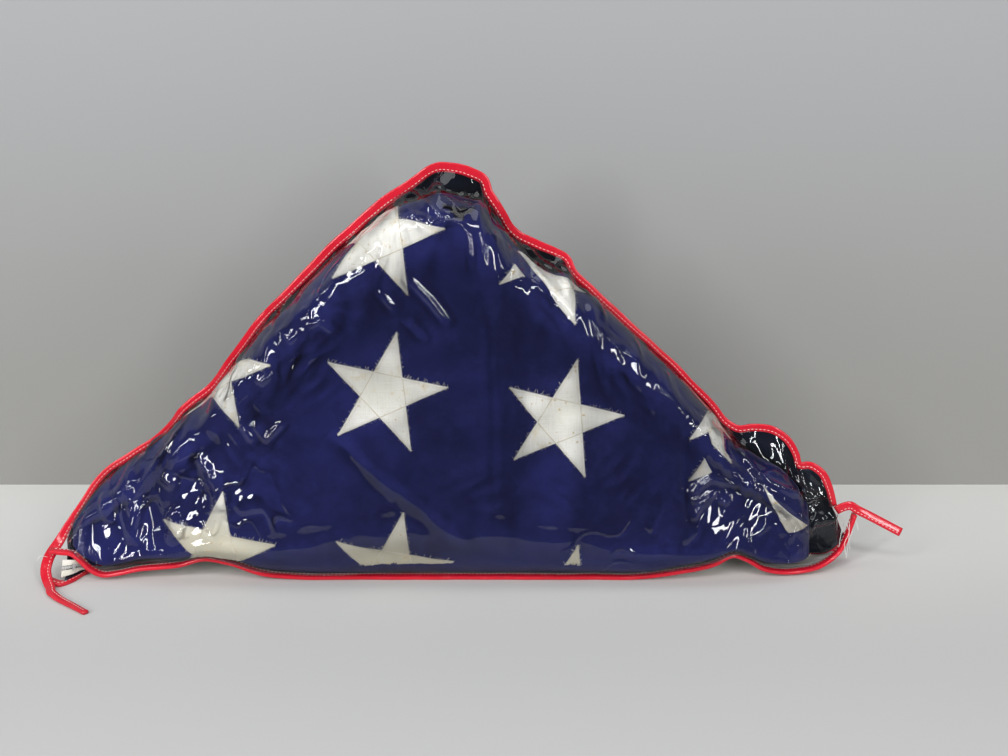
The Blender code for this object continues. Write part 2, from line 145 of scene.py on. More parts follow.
def smooth_through(places, values, at):
    """A smooth curve through values at uneven places."""
    values = np.asarray(values, float)
    at = np.clip(at, places[0], places[-1])
    gaps = np.diff(places)
    wide = gaps.reshape((-1,) + (1,) * (values.ndim - 1))
    slopes = np.diff(values, axis=0) / wide
    inner = (slopes[:-1] * wide[1:] + slopes[1:] * wide[:-1]) / (wide[1:] + wide[:-1])
    bends = np.concatenate((slopes[:1], inner, slopes[-1:]))
    left = np.clip(np.searchsorted(places, at, side="right") - 1, 0, len(gaps) - 1)
    gap = wide[left]
    share = ((at - places[left]) / gaps[left]).reshape(
        np.shape(at) + (1,) * (values.ndim - 1))
    return ((2 * share**3 - 3 * share**2 + 1) * values[left]
            + (share**3 - 2 * share**2 + share) * gap * bends[left]
            + (3 * share**2 - 2 * share**3) * values[left + 1]
            + (share**3 - share**2) * gap * bends[left + 1])


def column(name, x):
    return smooth_through(SECTIONS[:, 0], SECTIONS[:, COLUMNS.index(name)], x)


def room(x):
    return smooth_through(ROOM[:, 0], ROOM[:, 1], x) + COVER_ROOM


def route(names, x):
    """Points along one of the case's edges, for x of its sections."""
    return np.stack([column(name, x) if name else x for name in names], axis=-1)


def seam_route(x):
    return smooth_through(SEAM[:, 0], SEAM, x)


def front_route(x):
    points = route(("front_x", "front_y", "front_lift"), x)
    points[:, 2] += BASE_THICK / 2
    return points


def back_route(x):
    points = route(("front_x", "back_y", "back_lift"), x)
    points[:, 2] += BASE_THICK / 2
    return points


def unit(vectors):
    return vectors / np.maximum(np.linalg.norm(vectors, axis=-1, keepdims=True), 1e-9)


def travel(points):
    return unit(np.gradient(points, axis=0))


def upward(points):
    direction = travel(points)
    return unit(np.stack([-direction[:, 2], 0 * direction[:, 0], direction[:, 0]], axis=-1))


def packet(x, layer, height, swell, keep=1.0):
    """Points on a layer of the folded flag, for x along it; keep is a share of its depth."""
    floor = column("front_lift", x) + (column("back_lift", x) - column("front_lift", x)) \
        * (layer + 1) / 2
    seam = seam_route(x)
    seam_z = seam[:, 2]
    crown = seam_z - room(x)
    rounding = np.minimum(FLAG_ROUNDING, ROUNDING_SHARE * (crown - floor)) * layer**2
    lower = floor + np.minimum(FLAG_FOOT, FOOT_SHARE * (crown - floor))
    lower = lower + np.interp(x, *LOW_SHARES) * rounding
    z = lower + (crown - rounding - lower) * height
    rise = (z - floor) / (seam_z - floor)
    y = column("middle_y", x) + (seam[:, 1] - column("middle_y", x)) * rise
    y = y + layer * np.maximum(column("depth", x) - CLEARANCE, THINNEST_HALF) * swell * keep
    across = column("front_x", x) + (x - column("front_x", x)) * rise
    return np.stack([across, y, z], axis=-1)


# Creases.

def distance_to(points, x, z):
    """How far each place is from a line of points, and how far along the line it is."""
    nearest = np.full(np.shape(x), 1e9)
    along = np.zeros(np.shape(x))
    steps = [math.dist(a, b) for a, b in zip(points, points[1:])]
    before = 0.0
    for (x1, z1), (x2, z2), step in zip(points, points[1:], steps):
        share = np.clip(((x - x1) * (x2 - x1) + (z - z1) * (z2 - z1)) / step**2, 0, 1)
        away = np.hypot(x - x1 - share * (x2 - x1), z - z1 - share * (z2 - z1))
        closer = away < nearest
        nearest = np.where(closer, away, nearest)
        along = np.where(closer, before + share * step, along)
        before += step
    return nearest, along / before


def creased(creases, x, z):
    """Heights of soft ridges and troughs, each a line of points, a width and a height."""
    total = np.zeros(np.shape(x))
    for points, width, height in creases:
        away, along = distance_to(points, x, z)
        ends = 1.0 if points[0] == points[-1] else np.sqrt(np.clip(4 * along * (1 - along), 0, 1))
        total += height * ends * np.exp(-(away / width)**2)
    return total


def rumpled(x, z, size, seed):
    """Uneven heights of about 1, with bumps of about the given size."""
    spots = np.stack([x / size, 0 * x + seed, z / size], axis=-1).reshape(-1, 3)
    values = [noise.noise(Vector(spot)) for spot in spots]
    return np.array(values).reshape(np.shape(x))


def patch(x, z, centre_x, centre_z, reach_x, reach_z):
    """1 in the middle of an oval patch, fading to 0 outside it."""
    return np.exp(-((x - centre_x) / reach_x)**2 - ((z - centre_z) / reach_z)**2)


# Meshes.

def unit_grid(columns, rows):
    """A flat grid one unit wide, with its map, to be moved into place."""
    shape = bmesh.new()
    shape.loops.layers.uv.new("UVMap")
    bmesh.ops.create_grid(shape, x_segments=columns - 1, y_segments=rows - 1, size=0.5,
                          calc_uvs=True)
    return shape


def finish_piece(name, shape, material, smooth=True):
    mesh = bpy.data.meshes.new(name)
    shape.to_mesh(mesh)
    shape.free()
    if smooth:
        mesh.shade_smooth()
    mesh.materials.append(material)
    piece = bpy.data.objects.new(name, mesh)
    bpy.context.scene.collection.objects.link(piece)
    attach(piece, "root")
    return piece


def place_grid(shape, points):
    for vertex, place in zip(shape.verts, points.reshape(-1, 3)):
        vertex.co = Vector(place) * MM


def scale_map(shape, width, height):
    """Lets the map of a piece count in metres."""
    layer = shape.loops.layers.uv.active
    for face in shape.faces:
        for loop in face.loops:
            loop[layer].uv.x *= width
            loop[layer].uv.y *= height


def run_length(points):
    return float(np.linalg.norm(np.diff(points, axis=0), axis=-1).sum()) * MM


def sheet(name, points, material, reverse=False, thickness=0.0):
    """A sheet through a grid of points: its rows go up and its columns go along."""
    rows, columns = points.shape[:2]
    shape = unit_grid(columns, rows)
    place_grid(shape, points)
    scale_map(shape, run_length(points[rows // 2]), run_length(points[:, columns // 2]))
    if reverse:
        bmesh.ops.reverse_faces(shape, faces=shape.faces[:])
    piece = finish_piece(name, shape, material)
    if thickness:
        solid = piece.modifiers.new("thickness", "SOLIDIFY")
        solid.thickness = thickness * MM
        solid.offset = 0.0
    return piece


RING = 16


def bar(name, points, across, through, width, thick, material):
    """A strip with soft edges along a route."""
    turn = np.linspace(0, 2 * math.pi, RING + 1)
    side = np.sign(np.cos(turn)) * np.abs(np.cos(turn))**0.5 / 2
    face = np.sign(np.sin(turn)) * np.abs(np.sin(turn))**0.5 / 2
    wide = np.broadcast_to(width, len(points))[:, None, None]
    grid = (points[:, None] + across[:, None] * side[None, :, None] * wide
            + through[:, None] * face[None, :, None] * thick)
    shape = unit_grid(RING + 1, len(points))
    place_grid(shape, grid)
    scale_map(shape, 2 * (np.max(width) + thick) * MM, run_length(points))
    bmesh.ops.remove_doubles(shape, verts=shape.verts[:], dist=0.01 * MM)
    bmesh.ops.holes_fill(shape, edges=[e for e in shape.edges if e.is_boundary])
    bmesh.ops.recalc_face_normals(shape, faces=shape.faces[:])
    return finish_piece(name, shape, material)


def threads(name, strands, radius, material):
    """Fine threads along many short routes, joined in one mesh."""
    curve = bpy.data.curves.new(name, "CURVE")
    curve.dimensions = "3D"
    curve.bevel_depth = radius * MM
    curve.bevel_resolution = 0
    curve.use_fill_caps = True
    for strand in strands:
        spline = curve.splines.new("POLY")
        spline.points.add(len(strand) - 1)
        for point, place in zip(spline.points, strand):
            point.co = (*(Vector(place) * MM), 1.0)
    helper = bpy.data.objects.new(name, curve)
    bpy.context.scene.collection.objects.link(helper)
    bpy.context.view_layer.update()
    mesh = bpy.data.meshes.new_from_object(
        helper.evaluated_get(bpy.context.evaluated_depsgraph_get()))
    bpy.data.objects.remove(helper)
    mesh.name = name
    mesh.shade_smooth()
    mesh.materials.clear()
    mesh.materials.append(material)
    piece = bpy.data.objects.new(name, mesh)
    bpy.context.scene.collection.objects.link(piece)
    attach(piece, "root")
    return piece


# Finishes.

class Value:
    """A socket of a material's graph that takes part in sums."""

    def __init__(self, graph, socket):
        self.graph = graph
        self.socket = socket

    def sum(self, operation, first, second):
        return self.graph.add("Math", {"operation": operation}, {0: first, 1: second})

    def __add__(self, other):
        return self.sum("ADD", self, other)

    def __sub__(self, other):
        return self.sum("SUBTRACT", self, other)

    def __rsub__(self, other):
        return self.sum("SUBTRACT", other, self)

    def __mul__(self, other):
        return self.sum("MULTIPLY", self, other)

    def __pow__(self, other):
        return self.sum("POWER", self, other)

    def __abs__(self):
        return self.sum("ABSOLUTE", self, 0.0)

    __radd__ = __add__
    __rmul__ = __mul__


class Graph:
    """The nodes of one finish."""

    def __init__(self, name):
        self.material = bpy.data.materials.new(name)
        self.material.use_nodes = True
        self.tree = self.material.node_tree
        self.tree.nodes.clear()

    def add(self, kind, settings=None, sockets=None, out=0):
        """A node: its settings are made first, then its sockets' values or links."""
        node = self.tree.nodes.new("ShaderNode" + kind)
        for key, value in (settings or {}).items():
            setattr(node, key, value)
        for key, value in (sockets or {}).items():
            if isinstance(value, Value):
                self.tree.links.new(value.socket, node.inputs[key])
            else:
                node.inputs[key].default_value = value
        return Value(self, node.outputs[out])

    def blend(self, share, first, second):
        """A colour between two colours."""
        return self.add("Mix", {"data_type": "RGBA"}, {0: share, 6: first, 7: second}, out=2)

    def noise(self, place, scale, detail=3.0, rough=0.55):
        return self.add("TexNoise", None, {
            "Vector": place, "Scale": scale, "Detail": detail, "Roughness": rough})

    def stretch(self, place, x, y, z):
        return self.add("Mapping", None, {"Vector": place, "Scale": (x, y, z)})

    def step(self, value, low, high):
        """0 below low, 1 above high, smooth between."""
        return self.add("MapRange", {"interpolation_type": "SMOOTHSTEP"}, {
            "Value": value, "From Min": low, "From Max": high})

    def bump(self, height, strength, distance):
        return self.add("Bump", None, {
            "Height": height, "Strength": strength, "Distance": distance * MM})

    def principled(self, **sockets):
        names = {key.replace("_", " "): value for key, value in sockets.items()}
        return self.add("BsdfPrincipled", None, names)

    def output(self, shader):
        node = self.tree.nodes.new("ShaderNodeOutputMaterial")
        self.tree.links.new(shader.socket, node.inputs["Surface"])
        return self.material


def rgb(red, green, blue):
    return (red, green, blue, 1.0)


def woven(graph, threads_apart, uneven=0.5):
    """Height of a plain weave on the piece's own map, and its uneven threads."""
    place = graph.add("TexCoord", out=2)
    pitch = 2 * math.pi / (threads_apart * MM) / 20
    warp = graph.add("TexWave", {"wave_type": "BANDS", "bands_direction": "X"}, {
        "Vector": place, "Scale": pitch, "Distortion": 0.6, "Detail": 1.0,
        "Detail Scale": 0.4}, out=1)
    weft = graph.add("TexWave", {"wave_type": "BANDS", "bands_direction": "Y"}, {
        "Vector": place, "Scale": pitch, "Distortion": 0.6, "Detail": 1.0,
        "Detail Scale": 0.4}, out=1)
    slub_x = graph.noise(graph.stretch(place, 1500.0, 60.0, 1.0), 1.0, 2.0)
    slub_y = graph.noise(graph.stretch(place, 60.0, 1500.0, 1.0), 1.0, 2.0)
    height = (warp + weft) * 0.5 * (1.0 - uneven) + (slub_x + slub_y) * 0.5 * uneven
    return height, slub_x + slub_y


def navy_cotton():
    graph = Graph("navy cotton")
    weave, slubs = woven(graph, 0.7)
    place = graph.add("TexCoord", out=3)
    cloudy = graph.step(graph.noise(place, 22.0, 4.0), 0.35, 0.7)
    worn = graph.step(graph.noise(place, 70.0, 6.0, 0.7), 0.42, 0.72)
    colour = graph.blend(cloudy, rgb(0.0052, 0.0066, 0.064), rgb(0.0096, 0.0126, 0.104))
    colour = graph.blend(worn * 0.5, colour, rgb(0.016, 0.021, 0.135))
    colour = graph.blend(graph.step(slubs, 0.9, 1.35) * 0.35, colour, rgb(0.022, 0.026, 0.13))
    return graph.output(graph.principled(
        Base_Color=colour, Roughness=0.88, Normal=graph.bump(weave, 0.5, 0.25),
        Sheen_Weight=0.05, Specular_IOR_Level=0.15))


def star_cotton():
    graph = Graph("star cotton")
    weave, slubs = woven(graph, 0.9)
    place = graph.add("TexCoord", out=3)
    cloudy = graph.step(graph.noise(place, 30.0, 4.0), 0.35, 0.75)
    rust = graph.step(graph.noise(place, 85.0, 3.0, 0.6), 0.56, 0.70)
    spots = graph.step(graph.noise(graph.stretch(place, 1.0, 1.0, 1.1), 240.0, 1.0), 0.66, 0.76)
    colour = graph.blend(cloudy, rgb(0.78, 0.77, 0.71), rgb(0.87, 0.865, 0.825))
    # The stars turn darker and browner towards the bottom, below about 75 mm up.
    low = graph.add("SeparateXYZ", None, {0: place}, out=2)
    colour = graph.blend(graph.step(low, 0.075, 0.02) * 0.75, colour, rgb(0.46, 0.42, 0.28))
    colour = graph.blend(rust * 0.4, colour, rgb(0.66, 0.55, 0.32))
    colour = graph.blend(spots * 0.75, colour, rgb(0.52, 0.38, 0.15))
    colour = graph.blend(graph.step(slubs, 0.85, 1.3) * 0.35, colour, rgb(0.58, 0.57, 0.52))
    return graph.output(graph.principled(
        Base_Color=colour, Roughness=0.9, Normal=graph.bump(weave, 0.8, 0.4),
        Sheen_Weight=0.1, Specular_IOR_Level=0.25))


def clear_film():
    """Glossy vinyl that shows what is behind it, crumpled here and there."""
    graph = Graph("clear film")
    place = graph.add("TexCoord", out=3)
    height = graph.noise(place, 45.0, 1.0) * 0.4
    across = graph.add("SeparateXYZ", None, {0: place}) - 0.02
    up = graph.add("SeparateXYZ", None, {0: place}, out=2) - 0.13
    calm = across**2.0 * 42.0 + up**2.0 * 90.0
    crumpled = graph.step(graph.noise(place, 12.0, 2.0), 0.44, 0.58) * graph.step(calm, 0.7, 1.5)
    for scale, thin, tall in ((14.0, 0.022, 0.8), (27.0, 0.030, 0.45)):
        field = graph.noise(graph.stretch(place, 1.0, 1.0, 0.8), scale, 1.5, 0.5)
        line = graph.step(abs(field - 0.5), thin, 0.0) * tall
        height = height + line * crumpled
    normal = graph.bump(height, 1.0, 1.0)
    facing = graph.add("Fresnel", None, {"IOR": 1.52, "Normal": normal})
    haze = graph.step(graph.noise(place, 11.0, 5.0), 0.5, 0.75) * 0.008
    scuffs = graph.step(graph.noise(graph.stretch(place, 300.0, 300.0, 24.0), 1.0, 2.0),
                        0.68, 0.80) * 0.01
    rough = graph.step(graph.noise(place, 28.0, 3.0), 0.3, 0.8) * 0.03 + 0.02
    gloss = graph.principled(Base_Color=rgb(0.93, 0.94, 0.95), Metallic=1.0, Roughness=rough,
                             Normal=normal)
    through = graph.add("BsdfTransparent")
    # Painted shade: near its foot the film reflects only about a third as much, for the shadowed
    # table that it mirrors there.
    foot = graph.step(graph.add("SeparateXYZ", None, {0: place}, out=2), 0.008, 0.045) * 0.65
    return graph.output(graph.add("MixShader", None, {
        0: (facing + haze + scuffs) * (foot + 0.35), 1: through, 2: gloss}))


def dark_vinyl():
    graph = Graph("navy vinyl")
    place = graph.add("TexCoord", out=3)
    grain = graph.noise(place, 900.0, 2.0)
    cloudy = graph.noise(place, 25.0, 4.0)
    colour = graph.blend(cloudy, rgb(0.005, 0.007, 0.014), rgb(0.010, 0.014, 0.028))
    return graph.output(graph.principled(
        Base_Color=colour, Roughness=graph.step(cloudy, 0.3, 0.8) * 0.12 + 0.2,
        Normal=graph.bump(grain + cloudy * 2.0, 0.25, 0.3)))


def red_vinyl():
    graph = Graph("red vinyl")
    place = graph.add("TexCoord", out=3)
    scuffed = graph.step(graph.noise(place, 120.0, 4.0, 0.65), 0.52, 0.78)
    cloudy = graph.noise(place, 40.0, 3.0)
    colour = graph.blend(cloudy, rgb(0.46, 0.008, 0.019), rgb(0.63, 0.014, 0.034))
    colour = graph.blend(scuffed * 0.16, colour, rgb(0.75, 0.12, 0.13))
    grain = graph.noise(place, 700.0, 2.0) + cloudy * 3.0
    return graph.output(graph.principled(
        Base_Color=colour, Roughness=scuffed * 0.15 + 0.14, Specular_IOR_Level=0.4,
        Normal=graph.bump(grain, 0.12, 0.25)))


def white_cotton(name, light, dark, grain):
    graph = Graph(name)
    place = graph.add("TexCoord", out=3)
    cloudy = graph.step(graph.noise(place, 90.0, 4.0), 0.35, 0.7)
    colour = graph.blend(cloudy, dark, light)
    fibres = graph.noise(graph.stretch(place, grain, grain * 3, grain), 1.0, 3.0)
    return graph.output(graph.principled(
        Base_Color=colour, Roughness=0.8, Normal=graph.bump(fibres, 0.5, 0.3)))


def bright_metal():
    graph = Graph("zip metal")
    place = graph.add("TexCoord", out=3)
    rubbed = graph.noise(graph.stretch(place, 300.0, 2500.0, 300.0), 1.0, 3.0)
    return graph.output(graph.principled(
        Base_Color=rgb(0.62, 0.62, 0.61), Metallic=1.0, Roughness=rubbed * 0.25 + 0.15))


# The folded flag.

FRONT_ROWS = 84
COVER_ROWS = 26
BACK_ROWS = 12
INNER_ROWS = 5
FLAG_COLUMNS = 220
INNER_LAYERS = np.linspace(0.8, -0.8, LAYERS - 2)
INNER_TOP = 0.955              # the inner layers stop short of the cover over them
INNER_SHARE = 0.95             # and short of its two ends
COVER_LIFT = 2.4
FOLD_HEIGHT = 1.6
END_REACH = 16.0               # over which the outer layer closes at each end

# Creases in the cloth: points, width and height, minus for a trough.
CLOTH_CREASES = (
    (((44, 272), (58, 252), (78, 226), (99, 200)), 4.0, 2.6),
    (((37, 266), (52, 246), (72, 221), (92, 196)), 4.5, -2.6),
    (((184, 132), (181, 100), (183, 66), (190, 28)), 6.0, -5.0),
    (((205, 132), (210, 108), (232, 86), (262, 70)), 7.0, -4.0),
    (((188, 76), (206, 88), (228, 80), (240, 60)), 8.0, 4.0),
    (((207, 22), (214, 40), (238, 46), (262, 34)), 6.0, -3.0),
    (((-150, 190), (-140, 150), (-150, 110), (-140, 70)), 15.0, -2.5),
    (((-100, 200), (-80, 160), (-84, 120), (-60, 80)), 18.0, 1.8),
    (((-228, 92), (-214, 66), (-210, 34)), 9.0, -2.6),
    (((20, 110), (40, 60), (46, 24)), 16.0, -2.0),
    (((120, 90), (140, 60), (150, 26)), 14.0, -2.4),
    (((-10, 260), (0, 220), (20, 190)), 16.0, -1.6),
    (((130, 170), (146, 140), (150, 110)), 13.0, 2.2),
)


def flag_rows():
    """Layer, height and lift of each row of the cloth: once around, then back and forth."""
    rows = [(-1.0, height, 0.0) for height in np.linspace(0.0, 1.0, FRONT_ROWS)]
    for layer in np.linspace(-1.0, 1.0, COVER_ROWS + 2)[1:-1]:
        rows.append((layer, 1.0, COVER_LIFT * (1.0 - layer**4)**0.5))
    rows.extend((1.0, height, 0.0) for height in np.linspace(1.0, 0.0, BACK_ROWS))
    outer = len(rows)
    before = 1.0
    for number, layer in enumerate(INNER_LAYERS):
        heights = np.linspace(0.02, INNER_TOP, INNER_ROWS)
        lift = -FOLD_HEIGHT
        if number % 2:
            heights = heights[::-1]
            lift = FOLD_HEIGHT
        rows.append(((before + layer) / 2, heights[0], lift))
        rows.extend((layer, height, 0.0) for height in heights)
        before = layer
    return rows, outer


def closing(x):
    """How much of its depth the outer layer keeps near its two ends."""
    inside = np.minimum(x - FLAG_ENDS[0], FLAG_ENDS[1] - x)
    past = np.clip(1.0 - inside / END_REACH, 0.0, 0.985)
    return np.sqrt(1.0 - past**2)


def flag_grid():
    """Points of the cloth, and the distance up the outer layer at each of its rows."""
    x = np.linspace(*FLAG_ENDS, FLAG_COLUMNS)
    rows, outer = flag_rows()
    grid = []
    for number, (layer, height, lift) in enumerate(rows):
        swell = smooth_through(LAYER_HEIGHTS, LAYER_SWELL, np.array(height))
        along = x if number < outer else x * INNER_SHARE
        keep = closing(x) if number < outer else 0.93 * closing(x)
        points = packet(along, layer, height, swell, keep)
        points[:, 2] += lift
        grid.append(points)
    grid = np.array(grid)
    shown = grid[:FRONT_ROWS + COVER_ROWS]
    steps = np.linalg.norm(np.diff(shown, axis=0), axis=-1)
    up = np.concatenate((np.zeros((1, len(x))), np.cumsum(steps, axis=0)))
    middle = FRONT_ROWS // 2
    up += shown[middle, :, 2] - up[middle]
    heights = creased(CLOTH_CREASES, x[None, :] + 0 * up, up)
    heights += 1.6 * rumpled(x[None, :] + 0 * up, up, 48.0, 3.0)
    heights += 0.6 * rumpled(x[None, :] + 0 * up, up, 15.0, 9.0)
    heights += patch(x[None, :], up, 215, 50, 24, 18) * 4.0
    heights *= np.clip((up - up[0]) / 12.0, 0.0, 1.0)
    shown += outward(shown) * heights[..., None]
    return x, grid, up


# A gap between two folds at the top: its corners in x and distance up the cloth.
GAP_CORNERS = ((-2.0, 289.0), (26.0, 288.0), (14.0, 273.0))


def open_gap(flag, cloth):
    """Leaves a small three-cornered gap where the folds don't meet."""
    shape = bmesh.new()
    shape.from_mesh(flag.data)
    shape.verts.ensure_lookup_table()
    columns = len(cloth.x)
    inside = []
    for face in shape.faces:
        spots = [divmod(vertex.index, columns) for vertex in face.verts]
        if max(row for row, _ in spots) >= len(cloth.up):
            continue
        x = sum(cloth.x[column_number] for _, column_number in spots) / len(spots)
        up = sum(cloth.up[spot] for spot in spots) / len(spots)
        if within((x, up), GAP_CORNERS):
            inside.append(face)
    bmesh.ops.delete(shape, geom=inside, context="FACES")
    shape.to_mesh(flag.data)
    shape.free()


def within(spot, corners):
    """Whether a place lies in a triangle."""
    turns = []
    for (x1, z1), (x2, z2) in zip(corners, corners[1:] + corners[:1]):
        turns.append((x2 - x1) * (spot[1] - z1) - (z2 - z1) * (spot[0] - x1))
    return all(turn > 0 for turn in turns) or all(turn < 0 for turn in turns)


def outward(grid):
    """The way that each point of a sheet faces."""
    return unit(np.cross(np.gradient(grid, axis=1), np.gradient(grid, axis=0)))


class Cloth:
    """The outer layer of the flag, to lay pieces on by their place on the flat cloth."""

    def __init__(self):
        self.x, self.grid, self.up = flag_grid()
        self.shown = self.grid[:len(self.up)]
        self.faces = outward(self.shown)

    def at(self, x, up, lift):
        """The point over the cloth at x and at a distance up it."""
        place = np.interp(x, self.x, np.arange(len(self.x)))
        left = min(int(place), len(self.x) - 2)
        share = place - left
        point = np.zeros(3)
        for column_number, part in ((left, 1.0 - share), (left + 1, share)):
            row = np.interp(up, self.up[:, column_number], np.arange(len(self.up)))
            low = min(int(row), len(self.up) - 2)
            rest = row - low
            for grid, amount in ((self.shown, 1.0), (self.faces, lift)):
                point += part * amount * (grid[low, column_number] * (1.0 - rest)
                                          + grid[low + 1, column_number] * rest)
        return point

    def surface(self):
        """The outer layer all round, to find the nearest place on it."""
        outer = self.grid[:flag_rows()[1]]
        rows, columns = outer.shape[:2]
        faces = []
        for row in range(rows - 1):
            for first in range(row * columns, row * columns + columns - 1):
                faces.append((first, first + 1, first + columns + 1, first + columns))
        return BVHTree.FromPolygons([Vector(point) for point in outer.reshape(-1, 3)], faces)


# The sewn stars: centre, turn in degrees and the tucks that hide parts of them, each a line
# through a place with the side that it faces turned under.
STAR_RADIUS = 47.0
STAR_WAIST = 18.0
STAR_THICK = 0.7
STAR_LIFT = CLOTH_THICK / 2 + 0.5
STAR_FINENESS = 4              # how many times a star's faces are halved
LOWEST_STAR = 17.0             # stars are turned under below this distance up the cloth
# Threads on the stars: how far apart, how thick and how far they stand over the star.
FRAY_STEP = 0.7
FRAY_RADIUS = 0.10
FRAY_SHORTEST = 0.5
FRAY_MORE = 3.0
STITCH_STEP = 0.9
STITCH_EDGE = 1.6              # from a star's edge to the middle of its stitching
STITCH_SWING = 0.6
STITCH_RADIUS = 0.15
STITCH_OVER = 0.42
RIDGE_RADIUS = 0.34
RIDGE_OVER = 0.36
STARS = (
    (-43, 264, -12, ()),
    (79, 235, -12, ((70.6, 233.2, -0.79, -0.615), (93, 237, 0.45, 0.89), (101, 195, 0.6, -1.0))),
    (-172, 164, -12, ()),
    (-42, 149, -12, ()),
    (88, 128, -14, ()),
    (220, 142, -12, ((201, 105, 0.5, -1.0), (221, 114, 1.0, 0.1))),
    (-172, 26, -9, ()),
    (-39, 14, -12, ()),
    (91, -12, -12, ()),
    (272, 34.5, -33, ((258, 54.5, 0.73, 0.68), (268, 35.5, 0.1, -1.0), (252, 52.5, -0.89, -0.47))),
)
# Pieces that a pleat parts from their star: which star, centre, turn and tucks.
STAR_TIPS = (
    (2, 81, 254, -22, ((57, 238.5, 0.775, 0.63),)),
    (6, 221, 111, -12, ((198.5, 90, 0.92, 0.4),)),
    (6, 197, 133, -12, ((205, 124, -0.1, 1.0), (202, 104, -0.9, -0.3))),
)


def star_outline(x, up, turn):
    corners = []
    for number in range(10):
        radius = STAR_WAIST if number % 2 else STAR_RADIUS
        angle = math.radians(90 + 36 * number + turn)
        corners.append((x + radius * math.cos(angle), up + radius * math.sin(angle)))
    return corners


def kept(x, up, tucks):
    return all((x - tuck_x) * face_x + (up - tuck_up) * face_up < 0
               for tuck_x, tuck_up, face_x, face_up in tucks)


def cut_star(x, up, turn, tucks):
    """A flat star, cut fine and cut off at its tucks, where it is turned under."""
    shape = bmesh.new()
    shape.loops.layers.uv.new("UVMap")
    bmesh.ops.create_circle(shape, cap_ends=True, segments=10, radius=STAR_RADIUS)
    for vertex, corner in zip(shape.verts, star_outline(x, up, turn)):
        vertex.co = Vector((corner[0], 0.0, corner[1]))
    bmesh.ops.poke(shape, faces=shape.faces[:])
    for _ in range(STAR_FINENESS):
        bmesh.ops.subdivide_edges(shape, edges=shape.edges[:], cuts=1, use_grid_fill=True)
    for tuck_x, tuck_up, face_x, face_up in tucks:
        bmesh.ops.bisect_plane(
            shape, geom=shape.verts[:] + shape.edges[:] + shape.faces[:],
            plane_co=Vector((tuck_x, 0.0, tuck_up)), plane_no=Vector((face_x, 0.0, face_up)),
            clear_outer=True)
    low = [vertex for vertex in shape.verts if vertex.co.z < LOWEST_STAR]
    bmesh.ops.delete(shape, geom=low, context="VERTS")
    bmesh.ops.triangulate(shape, faces=shape.faces[:])
    return shape


def lay_star(shape, cloth):
    """Lays a flat star on the cloth, with its map as it was flat."""
    layer = shape.loops.layers.uv.active
    for face in shape.faces:
        for loop in face.loops:
            loop[layer].uv = (loop.vert.co.x * MM, loop.vert.co.z * MM)
    for vertex in shape.verts:
        x, _, up = vertex.co
        vertex.co = Vector(cloth.at(x, up, STAR_LIFT)) * MM
    bmesh.ops.recalc_face_normals(shape, faces=shape.faces[:])
    if sum(face.normal.y for face in shape.faces) > 0:
        bmesh.ops.reverse_faces(shape, faces=shape.faces[:])


def edge_walk(corners, step):
    """Places along a closed outline, each with the way out of it."""
    for (x1, z1), (x2, z2) in zip(corners, corners[1:] + corners[:1]):
        length = math.dist((x1, z1), (x2, z2))
        out = Vector(((z2 - z1) / length, (x1 - x2) / length))
        for number in range(int(length / step)):
            share = (number + 0.5) * step / length
            yield x1 + (x2 - x1) * share, z1 + (z2 - z1) * share, out


def frayed_edge(corners, tucks, cloth, draw):
    """Loose threads along a star's raw edges, longer on its upper side."""
    strands = []
    for x, up, out in edge_walk(corners, FRAY_STEP):
        if not kept(x, up, tucks) or up < LOWEST_STAR:
            continue
        upper = 0.45 + 0.55 * max(out.y, 0.0)
        length = (FRAY_SHORTEST + FRAY_MORE * draw.random()**4) * upper
        lean = draw.uniform(-0.6, 0.6)
        start = STAR_LIFT + draw.uniform(-0.2, 0.5)
        way_x = out.x - out.y * lean
        way_up = out.y + out.x * lean
        curl = draw.uniform(-0.8, 0.8)
        strand = []
        for part in (-1.0 / length, 0.4, 0.75, 1.0):
            reach = part * length
            bend = curl * part * part * 0.5 * length
            strand.append(cloth.at(x + way_x * reach - way_up * bend,
                                   up + way_up * reach + way_x * bend, start))
        strands.append(strand)
    return strands


def zigzag(corners, tucks, cloth):
    """The stitching just inside a star's edge."""
    strands = []
    run = []
    side = 1
    for x, up, out in edge_walk(corners, STITCH_STEP):
        inset = STITCH_EDGE + STITCH_SWING * side
        side = -side
        place = (x - out.x * inset, up - out.y * inset)
        if kept(*place, tucks) and place[1] > LOWEST_STAR:
            run.append(cloth.at(*place, STAR_LIFT + STITCH_OVER))
        elif len(run) > 1:
            strands.append(run)
            run = []
    if len(run) > 1:
        strands.append(run)
    return strands


def arm_seams(corners, tucks, cloth):
    """A turned seam across the foot of each arm."""
    strands = []
    notches = corners[1::2]
    for (x1, z1), (x2, z2) in zip(notches, notches[1:] + notches[:1]):
        places = [(x1 + (x2 - x1) * part, z1 + (z2 - z1) * part)
                  for part in np.linspace(0.04, 0.96, 9)]
        run = [cloth.at(*place, STAR_LIFT + RIDGE_OVER) for place in places
               if kept(*place, tucks) and place[1] > LOWEST_STAR]
        if len(run) > 1:
            strands.append(run)
    return strands


